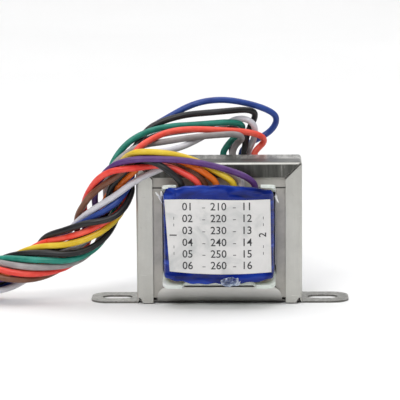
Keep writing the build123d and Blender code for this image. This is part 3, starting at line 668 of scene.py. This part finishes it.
def mesh_piece(name, points, faces, material, smooth=True):
    """Mesh object at the origin from an array of points and a list of faces."""
    mesh = bpy.data.meshes.new(name)
    mesh.from_pydata(points.tolist(), [], faces)
    mesh.polygons.foreach_set("use_smooth", np.full(len(mesh.polygons), smooth))
    mesh.materials.append(material)
    mesh.validate()
    mesh.update()
    piece = bpy.data.objects.new(name, mesh)
    bpy.context.scene.collection.objects.link(piece)
    return piece


def grid_points(x, y, z):
    """Grid of places in millimetres as one array of points in metres."""
    return np.stack((x, y, z), axis=-1).reshape(-1, 3) * MM


def grid_quads(rows, columns, closed_u=False, closed_v=False):
    """Quads between the neighbours of a grid, rows along u and columns along v, joined up where closed."""
    u = np.arange(rows if closed_u else rows - 1)
    v = np.arange(columns if closed_v else columns - 1)
    u, v = np.meshgrid(u, v, indexing="ij")
    next_u = (u + 1) % rows
    next_v = (v + 1) % columns
    corners = (u * columns + v, next_u * columns + v, next_u * columns + next_v, u * columns + next_v)
    return np.stack(corners, axis=-1).reshape(-1, 4)


def ring_grid(face, back):
    """Face and back of a sheet as one grid of rings: along v on its face, then home along its back."""
    return [np.concatenate((front, behind[:, ::-1]), axis=1) for front, behind in zip(face, back)]


def sheet_piece(name, face, outward, thickness, material):
    """Closed thin sheet: a face grid, the same grid set back against its outward axis, and a rim."""
    back = [values - step * thickness for values, step in zip(face, outward)]
    rows, columns = face[0].shape
    ring = 2 * columns
    near = np.arange(columns - 1)
    far = ring - 1 - near
    first = np.stack((near, near + 1, far - 1, far), axis=-1)
    last = np.stack((near + 1, near, far, far - 1), axis=-1) + (rows - 1) * ring
    quads = np.concatenate((grid_quads(rows, ring, closed_v=True), first, last))
    return mesh_piece(name, grid_points(*ring_grid(face, back)), quads.tolist(), material)


def ripple(x, z, seed, count, low, high, slant=1.0):
    """Sum of sine waves with seeded directions, lengths and phases, about one unit high."""
    chance = np.random.default_rng(seed)
    total = np.zeros_like(x)
    for _ in range(count):
        wave = chance.uniform(low, high)
        turn = chance.uniform(-1, 1) * slant
        phase = chance.uniform(0, 2 * math.pi)
        total = total + np.sin(2 * math.pi * (x * math.cos(turn) + z * math.sin(turn)) / wave + phase)
    return total / math.sqrt(count)


def smooth_step(value, low, high):
    """Soft change from 0 to 1 between low and high."""
    share = np.clip((value - low) / (high - low), 0, 1)
    return share * share * (3 - 2 * share)


def keep(piece, slot_name, *replaced):
    """Ride a piece on the transformer and hide the CAD nodes it stands for; its slot name is not used."""
    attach(piece, "root")
    if replaced:
        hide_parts(*replaced)


# Blue tape round the coil, in millimetres
TAPE_HALF_X = 14.05
TAPE_EDGE_Y = 15.3
TAPE_BULGE = 1.0
TAPE_CORNER = 3.2
TAPE_SHELL = 0.32
TAPE_STEPS = 150
TAPE_ROWS = 60
BELT_FOOT = 8.65
LAP_DEPTH = (12.5, 14.7)
LAP_TOP = 31.95
LAP_FOOT = 6.7
LAP_BOW = 1.35
LAP_SLOPE = 0.25
RIM_WANDER = 0.16
RIM_TUCK = 0.2
RIM_SHARE = 0.035
FACE_DEPTH = 12.0
SIDE_SHIFT = 40.0
FOLD_DEPTH = 0.07
CREASE_DEPTH = 0.11
SIDE_FOLD_DEPTH = 0.03
LABEL_PRESS = 0.08
PRESSED_FOOT = (8.6, 9.6)
PRESSED_TOP = (27.9, 28.9)


def tape_front_y(x):
    """Depth of the taped coil's front at a place across it: a shallow bow."""
    return TAPE_EDGE_Y + TAPE_BULGE * (1 - (x / TAPE_HALF_X) ** 2)


def tape_perimeter(count):
    """Plan of the taped coil as a closed line: bowed front and back, straight sides, round corners."""
    flat_x = TAPE_HALF_X - TAPE_CORNER
    side_y = tape_front_y(flat_x) - TAPE_CORNER
    front_x = np.linspace(-flat_x, flat_x, count, endpoint=False)
    turn = np.linspace(0, math.pi / 2, count // 4, endpoint=False)
    corner_x = flat_x + TAPE_CORNER * np.sin(turn)
    corner_y = -(side_y + TAPE_CORNER * np.cos(turn))
    side = np.linspace(-side_y, side_y, count // 2, endpoint=False)
    half_x = np.concatenate((front_x, corner_x, np.full_like(side, TAPE_HALF_X), corner_x[::-1]))
    half_y = np.concatenate((-tape_front_y(front_x), corner_y, side, -corner_y[::-1]))
    x = np.concatenate((half_x, -half_x))
    y = np.concatenate((half_y, -half_y))
    step_x = np.roll(x, -1) - np.roll(x, 1)
    step_y = np.roll(y, -1) - np.roll(y, 1)
    size = np.hypot(step_x, step_y)
    return x, y, step_y / size, -step_x / size


def outer_tape():
    """Blue tape as one closed belt: front and back lap past the flanges, wrinkled, with rims that wander."""
    x, y, out_x, out_y = (values[:, None] for values in tape_perimeter(TAPE_STEPS))
    lapped = smooth_step(np.abs(y), *LAP_DEPTH)
    bow = LAP_BOW * (x / TAPE_HALF_X) ** 2
    lap_top = LAP_TOP - bow - LAP_SLOPE * x / TAPE_HALF_X + RIM_WANDER / 2 * ripple(x, y, 11, 5, 3.0, 9.0)
    lap_foot = LAP_FOOT + bow + RIM_WANDER * ripple(x, y, 12, 5, 3.0, 9.0)
    top = COIL_BELT_TOP + lapped * (lap_top - COIL_BELT_TOP)
    foot = BELT_FOOT + lapped * (lap_foot - BELT_FOOT)
    share = np.linspace(0, 1, TAPE_ROWS)[None, :]
    z = foot + (top - foot) * share
    lift = tape_lift(x, y, z, share, lapped)
    face = (x + out_x * lift, y + out_y * lift, z)
    back = (x - out_x * TAPE_SHELL + 0 * z, y - out_y * TAPE_SHELL + 0 * z, z)
    rings = ring_grid(face, back)
    quads = grid_quads(*rings[0].shape, closed_u=True, closed_v=True)
    return mesh_piece("tape_wrap", grid_points(*rings), quads.tolist(), tape_finish())


def tape_lift(x, y, z, share, lapped):
    """How far the tape stands out: long folds and sharp creases, pressed under the label, rims tucked in."""
    across = np.where(np.abs(y) > FACE_DEPTH, x, y + SIDE_SHIFT) + 0 * share
    folds = ripple(across, z * 2.6, 21, 9, 5.0, 16.0, 1.5)
    creases = np.clip(1 - np.abs(ripple(across * 0.6, z * 3.2, 22, 7, 4.0, 11.0, 1.5)), 0, 1)
    wrinkles = (FOLD_DEPTH * folds + CREASE_DEPTH * creases) * lapped + SIDE_FOLD_DEPTH * folds
    pressed = smooth_step(z, *PRESSED_FOOT) * (1 - smooth_step(z, *PRESSED_TOP)) * (y < -FACE_DEPTH)
    tuck = RIM_TUCK * (1 - smooth_step(np.minimum(share, 1 - share), 0.0, RIM_SHARE))
    return wrinkles * (1 - pressed) - LABEL_PRESS * pressed - tuck


def tape_finish():
    """Glossy blue film tape: deep colour, paler stretched streaks and fine creases."""
    material, tree, shader, place = new_finish("blue_film_tape", roughness=0.16, ior=1.34)
    shader.inputs["Coat Weight"].default_value = 0.04
    shader.inputs["Coat Roughness"].default_value = 0.08
    streaks = cloudy(tree, stretched(tree, place, (75.0, 75.0, 330.0)), 1.0, 3.5, 0.5, 0.8)
    tint = ramp(tree, streaks, [
        (0.32, (0.0004, 0.004, 0.065)), (0.52, (0.001, 0.016, 0.21)),
        (0.70, (0.015, 0.060, 0.42)), (0.80, (0.10, 0.18, 0.60)),
    ])
    tree.links.new(tint, shader.inputs["Base Color"])
    tree.links.new(spread(tree, streaks, 0.3, 0.75, 0.10, 0.30), shader.inputs["Roughness"])
    raised(tree, shader, streaks, 0.30, 0.0004)
    return material


# Paper label over the tape, in millimetres
LABEL_LIFT = 0.10
LABEL_SHEET = 0.09
LABEL_LEFT, LABEL_LEFT_SKEW = -13.65, 1.25
LABEL_RIGHT, LABEL_RIGHT_SKEW = 13.0, 0.25
LABEL_FOOT, LABEL_FOOT_SLOPE, LABEL_FOOT_SAG = 10.0, 0.3, 0.55
LABEL_TOP, LABEL_TOP_WAVE = 28.25, 0.12
LABEL_ROUGH_FOOT, LABEL_ROUGH_HEIGHT = 9.8, 18.5
LABEL_SOFT = 0.05
LABEL_SOFT_LIMITS = (-0.05, 0.2)
LABEL_CURL = 0.18
CURL_SIDE_SHARES = (0.44, 0.5)
CURL_TOP_SHARES = (0.85, 1.0)

# Each crease: its middle across and up, half width, half height, lean, and how far it stands out
label_creases = [
    (-11.3, 24.0, 2.2, 3.0, 0.0, -0.06),
    (5.3, 14.5, 0.9, 4.0, 0.6, 0.10),
    (0.5, 26.0, 0.8, 3.0, -0.3, 0.08),
]


def label_sides(v):
    """Left and right edge of the label at a share of its height: both lean right towards its foot."""
    return LABEL_LEFT + LABEL_LEFT_SKEW * (1 - v), LABEL_RIGHT + LABEL_RIGHT_SKEW * (1 - v)


def label_rims(u):
    """Foot and top of the label at a share of its width: a sloping, sagging foot and a slightly wavy top."""
    sag = LABEL_FOOT_SAG * np.sin(math.pi * np.clip(u, 0, 1)) ** 0.8
    return LABEL_FOOT - LABEL_FOOT_SLOPE * u - sag, LABEL_TOP + LABEL_TOP_WAVE * np.sin(2 * math.pi * u)


def label_share_across(x, v):
    """Share of the label's width at a place across it."""
    left, right = label_sides(v)
    return (x - left) / (right - left)


def label_face(u, v):
    """Label over shares across and up: the tape's bow, soft waves, bell-shaped creases, curled corners."""
    left, right = label_sides(v)
    foot, top = label_rims(u)
    x = left + (right - left) * u
    z = foot + (top - foot) * v
    out = np.clip(LABEL_SOFT * ripple(x, z, 31, 6, 9.0, 22.0, 3.0), *LABEL_SOFT_LIMITS)
    for middle_x, middle_z, half_width, half_height, lean, depth in label_creases:
        across = (x - middle_x - lean * (z - middle_z)) / half_width
        up = (z - middle_z) / half_height
        out = out + depth * np.exp(-across ** 2 - up ** 2)
    corners = smooth_step(np.abs(u - 0.5), *CURL_SIDE_SHARES) * smooth_step(v, *CURL_TOP_SHARES)
    out = out + LABEL_CURL * corners
    return x, -(tape_front_y(x) + LABEL_LIFT + out), z


def label_depth(x, z):
    """Depth of the label's face at places in millimetres, from their shares across and up."""
    u = label_share_across(x, (z - LABEL_ROUGH_FOOT) / LABEL_ROUGH_HEIGHT)
    foot, top = label_rims(u)
    v = (z - foot) / (top - foot)
    return label_face(label_share_across(x, v), v)[1]


def label_piece():
    """Paper label as a thin closed sheet."""
    u, v = np.meshgrid(np.linspace(0, 1, 120), np.linspace(0, 1, 90), indexing="ij")
    return sheet_piece("paper_label", label_face(u, v), FORWARD, LABEL_SHEET, label_finish())


def label_finish():
    """Off-white label stock: warm paper, cloudy grey patches and a fine grain."""
    material, tree, shader, place = new_finish("label_stock", roughness=0.55)
    # Cloudy grey patches over the paper, from a shifted noise pattern
    grey_patches = cloudy(tree, stretched(tree, place, (110.0, 110.0, 150.0), (0.7, 0.0, 0.2)), 1.0, 5.0, 0.6, 0.8)
    papers = [(0.28, (0.52, 0.53, 0.525)), (0.46, (0.71, 0.70, 0.69)), (0.75, (0.78, 0.765, 0.755))]
    tree.links.new(ramp(tree, grey_patches, papers), shader.inputs["Base Color"])
    fibres = cloudy(tree, place, 2600.0, 4.0, 0.6)
    raised(tree, shader, fibres, 0.12, 0.00005)
    return material


# Print on the label, in millimetres
PRINT_LIFT = 0.022
INK_SPREAD = 0.02
ROW_HEIGHTS = (26.5, 23.5, 20.45, 17.4, 14.45, 11.5)
ROW_TEXT_SIZE = 2.744
ROW_TEXT_DROP = 0.882
COLUMN_STARTS = (-9.2, -2.1, 5.7)
ROW_DASHES = (-4.1, 3.6)
ROW_DASH_DROP = 0.35
ROW_DASH_SIZE = (0.75, 0.16)
SIDE_TEXT = ((-10.6, "1"), (11.9, "2"))
SIDE_TEXT_SIZE = 2.5725
SIDE_TEXT_START = 18.6
SIDE_DASHES = (14.2, 15.9, 21.5, 23.2)
SIDE_DASH_SHIFT = 0.6
SIDE_DASH_SIZE = (0.7, 0.14)


def text_points(words, size):
    """Flat outline of some words as mesh arrays, in millimetres from the start of their base line."""
    curve = bpy.data.curves.new("print_words", "FONT")
    curve.body = words
    curve.size = size
    curve.offset = INK_SPREAD
    curve.resolution_u = 3
    holder = bpy.data.objects.new("print_words", curve)
    bpy.context.scene.collection.objects.link(holder)
    bpy.context.view_layer.update()
    mesh = bpy.data.meshes.new_from_object(holder)
    points = np.empty(len(mesh.vertices) * 3)
    mesh.vertices.foreach_get("co", points)
    faces = [tuple(polygon.vertices) for polygon in mesh.polygons]
    bpy.data.objects.remove(holder)
    bpy.data.curves.remove(curve)
    bpy.data.meshes.remove(mesh)
    return points.reshape(-1, 3), faces


def dash_points(width, height):
    """Plain printed dash: one flat quad."""
    points = np.array([(0, 0, 0), (width, 0, 0), (0, height, 0), (width, height, 0)], dtype=float)
    return points, [(0, 1, 3, 2)]


def label_marks():
    """Every printed mark: its points and faces, its start across and up, and whether it runs up the label."""
    marks = []
    for row, height in enumerate(ROW_HEIGHTS):
        for start, words in zip(COLUMN_STARTS, (f"0{row + 1}", f"{row + 21}0", f"{row + 11}")):
            marks.append((text_points(words, ROW_TEXT_SIZE), start, height - ROW_TEXT_DROP, False))
        for start in ROW_DASHES:
            marks.append((dash_points(*ROW_DASH_SIZE), start, height - ROW_DASH_DROP, False))
    for start, words in SIDE_TEXT:
        marks.append((text_points(words, SIDE_TEXT_SIZE), start, SIDE_TEXT_START, True))
        for height in SIDE_DASHES:
            marks.append((dash_points(*SIDE_DASH_SIZE), start - SIDE_DASH_SHIFT, height, True))
    return marks


def label_print():
    """Rows of plain numbers and dashes, and a number and dashes up each side, as one thin printed mesh."""
    all_points = []
    all_faces = []
    used = 0
    for (points, faces), start_x, start_z, upright in label_marks():
        along, up = points[:, 0], points[:, 1]
        x = start_x - up if upright else start_x + along
        z = start_z + along if upright else start_z + up
        all_points.append(grid_points(x, label_depth(x, z) - PRINT_LIFT, z))
        all_faces += [tuple(index + used for index in face) for face in faces]
        used += len(points)
    return mesh_piece("label_print", np.concatenate(all_points), all_faces, ink_finish(), smooth=False)


def ink_finish():
    """Slightly uneven black ink."""
    material, tree, shader, place = new_finish("label_ink", roughness=0.5)
    worn = cloudy(tree, place, 1500.0, 4.0, 0.6)
    tint = ramp(tree, worn, [(0.35, (0.010, 0.010, 0.012)), (0.8, (0.07, 0.07, 0.075))])
    tree.links.new(tint, shader.inputs["Base Color"])
    raised(tree, shader, worn, 0.1, 0.00003)
    return material


keep(outer_tape(), "blue_tape", "outer_tape")
keep(label_piece(), "label_paper", "tap_label")
keep(label_print(), "label_paper")

# Clear tape and film, in millimetres
PATCH_MIDDLE = (2.9, 7.35)
PATCH_HALF_SIZE = (2.45, 1.15)
PATCH_ROUNDING = 0.45
PATCH_LIFT = 0.10
PATCH_CREASE = 0.16
PATCH_UNEVENNESS = 0.10
PATCH_WANDER = 0.12
PATCH_SHEET = 0.08
FILM_FOOT = 8.9
FILM_HEIGHT = 20.6
FILM_FRONT = 3.4
FILM_BACK = 9.3
FILM_X = 14.25
FILM_SLACK = 0.14
FILM_WANDER = 0.2
FILM_SHEET = 0.07
# Edge of the painted shadow on the film inside the window
FILM_SHADOW_EDGE = (-8.2, -7.2)
SHRED_SHEET = 0.06
SHRED_TAPER = 0.65
SHRED_TURN_SHARES = (0.25, 0.7)
SHRED_RAGGEDNESS = 0.15
SHRED_CUP = 0.12

# Each shred: its width, its lean at the tip in radians and the four places that draw its curve
shreds = {
    "left_long": (1.0, 0.7, [
        (-14.2, -6.0, 27.0), (-14.2, -10.5, 27.0), (-14.4, -11.2, 27.6), (-16.0, -10.9, 29.5),
    ]),
    "left_short": (1.1, 0.15, [
        (-14.2, -6.0, 28.0), (-14.2, -10.5, 28.0), (-14.3, -12.0, 28.4), (-14.5, -12.2, 29.9),
    ]),
    "left_low": (0.45, 0.7, [
        (-14.2, -6.0, 26.0), (-14.2, -10.5, 26.0), (-14.3, -11.4, 26.8), (-15.3, -11.0, 28.2),
    ]),
    "right_long": (1.2, -0.5, [
        (14.2, -6.0, 28.6), (14.2, -11.0, 28.8), (14.3, -12.4, 28.6), (15.0, -12.4, 26.9),
    ]),
}


def clear_finish():
    """Crumpled clear tape: mostly see-through, glossy, milky in cloudy patches."""
    material, tree, shader, place = new_finish("crumpled_clear_tape", roughness=0.3, ior=1.36)
    milky = cloudy(tree, place, 520.0, 5.0, 0.6, 1.4)
    tint = ramp(tree, milky, [(0.42, (0.55, 0.66, 0.90)), (0.70, (0.90, 0.93, 0.96))])
    tree.links.new(tint, shader.inputs["Base Color"])
    tree.links.new(spread(tree, milky, 0.46, 0.66, 0.90, 0.30), shader.inputs["Transmission Weight"])
    raised(tree, shader, milky, 0.25, 0.0002)
    return material


def clear_patch():
    """Clear patch under the label: an uneven oval sheet over the tape's bow, with deep random creases."""
    u, v = np.meshgrid(np.linspace(-1, 1, 60), np.linspace(-1, 1, 40), indexing="ij")
    edge = 1 + PATCH_UNEVENNESS * ripple(u * 3, v * 3, 41, 5, 1.2, 3.0, 3.0)
    x = PATCH_MIDDLE[0] + PATCH_HALF_SIZE[0] * u * edge * np.sqrt(1 - PATCH_ROUNDING * v * v)
    z = PATCH_MIDDLE[1] + PATCH_HALF_SIZE[1] * v * edge * np.sqrt(1 - PATCH_ROUNDING * u * u)
    z = z + PATCH_WANDER * ripple(u * 4, v * 2, 44, 4, 1.0, 3.0, 3.0)
    crease = np.abs(ripple(u * 4, v * 3, 42, 6, 1.8, 4.0, 3.0))
    y = -(tape_front_y(x) + PATCH_LIFT + PATCH_CREASE * np.clip(crease, 0, 1.5))
    return sheet_piece("clear_patch", (x, y, z), FORWARD, PATCH_SHEET, clear_finish())


def film_finish():
    """Thin white film: painted black shadow inside the window, white where it is torn out."""
    material, tree, shader, place = new_finish("white_film", roughness=0.4)
    shader.inputs["Subsurface Radius"].default_value = (0.001, 0.001, 0.001)
    mottled = cloudy(tree, place, 500.0, 4.0, 0.6)
    clean = ramp(tree, mottled, [(0.3, (0.80, 0.81, 0.80)), (0.7, (0.94, 0.94, 0.93))])
    # Painted shadow: the film is painted black inside the window, where it lies in shade.
    window_shadow = across_edge(tree, axis_value(tree, place, 1), FILM_SHADOW_EDGE, 0.0, 0.97)
    tree.links.new(mixed(tree, window_shadow, clean, (0.012, 0.012, 0.014)), shader.inputs["Base Color"])
    tree.links.new(spread(tree, window_shadow, 0.0, 1.0, 0.3, 0.0), shader.inputs["Subsurface Weight"])
    raised(tree, shader, mottled, 0.3, 0.0001)
    return material


def film_strip(name, side, material):
    """Film between the coil and a core leg: a slack sheet, wavy along its depth, its front rim uneven."""
    u, v = np.meshgrid(np.linspace(0, 1, 48), np.linspace(0, 1, 90), indexing="ij")
    z = FILM_FOOT + FILM_HEIGHT * v
    rim = FILM_FRONT + FILM_WANDER * ripple(v * 20, v * 0, 51 + side, 4, 3.0, 9.0, 0.1)
    y = -rim + (rim + FILM_BACK) * u
    x = side * (FILM_X + FILM_SLACK * np.sin(2 * math.pi * (1.5 * u + 0.3 * v)))
    return sheet_piece(name, (x, y, z), (side, 0.0, 0.0), FILM_SHEET, material)


def torn_shred(name, width, lean, places, material):
    """Torn shred: a tapering ribbon along a cubic curve, upright inside the window and leaning at its tip."""
    t, v = np.meshgrid(np.linspace(0, 1, 40), np.linspace(-0.5, 0.5, 7), indexing="ij")
    shares = ((1 - t) ** 3, 3 * t * (1 - t) ** 2, 3 * t * t * (1 - t), t ** 3)
    middle = [sum(share * place[axis] for share, place in zip(shares, places)) for axis in range(3)]
    turned = smooth_step(t, *SHRED_TURN_SHARES)
    across_x, across_z = turned * math.cos(lean), 1 - turned + turned * math.sin(lean)
    size = np.hypot(across_x, across_z)
    reach = width * (1 - SHRED_TAPER * t) * v * (1 + SHRED_RAGGEDNESS * np.sin(t * 23)) / size
    face = (middle[0] + reach * across_x, middle[1] + SHRED_CUP * np.abs(v), middle[2] + reach * across_z)
    return sheet_piece(name, face, FORWARD, SHRED_SHEET, material)


keep(clear_patch(), "clear_tape", "clear_tape_tab")
white_film = film_finish()
keep(film_strip("film_left", -1, white_film), "white_film", "left_film")
keep(film_strip("film_right", 1, white_film), "white_film", "right_film")
for shred_name, (width, lean, places) in shreds.items():
    keep(torn_shred("film_shred_" + shred_name, width, lean, places, white_film), "white_film")

# Studio, the floor in millimetres
FLOOR_HALF_WIDTH = 2000.0
FLOOR_FRONT = -2500.0
SWEEP_START = 900.0
SWEEP_RADIUS = 400.0
WALL_TOP = 2200.0


def floor_finish():
    """Plain pale floor with a trace of unevenness."""
    material, tree, shader, place = new_finish("studio_floor", roughness=0.8)
    clouds = cloudy(tree, place, 4.0, 3.0, 0.5)
    tint = ramp(tree, clouds, [(0.3, (0.90, 0.90, 0.90)), (0.7, (0.93, 0.93, 0.93))])
    tree.links.new(tint, shader.inputs["Base Color"])
    return material


def studio_floor():
    """Floor that sweeps up behind the object: flat, then a quarter round, then upright."""
    across = np.linspace(-FLOOR_HALF_WIDTH, FLOOR_HALF_WIDTH, 3)
    turn = np.linspace(0, math.pi / 2, 24)
    sweep = SWEEP_START + SWEEP_RADIUS * np.sin(turn)
    depth = np.concatenate(([FLOOR_FRONT], sweep, [SWEEP_START + SWEEP_RADIUS]))
    height = np.concatenate(([0.0], SWEEP_RADIUS * (1 - np.cos(turn)), [WALL_TOP]))
    x, y = np.meshgrid(across, depth, indexing="ij")
    points = grid_points(x, y, np.broadcast_to(height, x.shape))
    mesh_piece("studio_floor", points, grid_quads(*x.shape).tolist(), floor_finish())


def soft_light(name, place, aim, size, power):
    """Large soft area light."""
    data = bpy.data.lights.new(name, "AREA")
    data.shape = "DISK"
    data.size = size
    data.energy = power
    light = bpy.data.objects.new(name, data)
    bpy.context.scene.collection.objects.link(light)
    light.location = place
    light.rotation_euler = (Vector(aim) - Vector(place)).to_track_quat("-Z", "Y").to_euler()


def studio_world():
    """Soft surroundings: bright overhead, dimmer towards the horizon."""
    world = bpy.data.worlds.new("studio")
    bpy.context.scene.world = world
    world.use_nodes = True
    tree = world.node_tree
    place = tree.nodes.new("ShaderNodeTexCoord").outputs["Generated"]
    shades = [(0.0, (0.16, 0.16, 0.16)), (0.35, (0.24, 0.24, 0.24)), (0.9, (0.62, 0.62, 0.62))]
    background = tree.nodes["Background"]
    tree.links.new(ramp(tree, axis_value(tree, place, 2), shades), background.inputs["Color"])
    background.inputs["Strength"].default_value = 1.0


studio_floor()
studio_world()
soft_light("key", place=(-0.25, -0.80, 0.75), aim=(0, 0, 0.02), size=0.40, power=4.2)
soft_light("top", place=(0.0, 0.45, 1.7), aim=(0, 0.45, 0), size=2.6, power=24.0)
bpy.context.scene.view_settings.view_transform = "Standard"
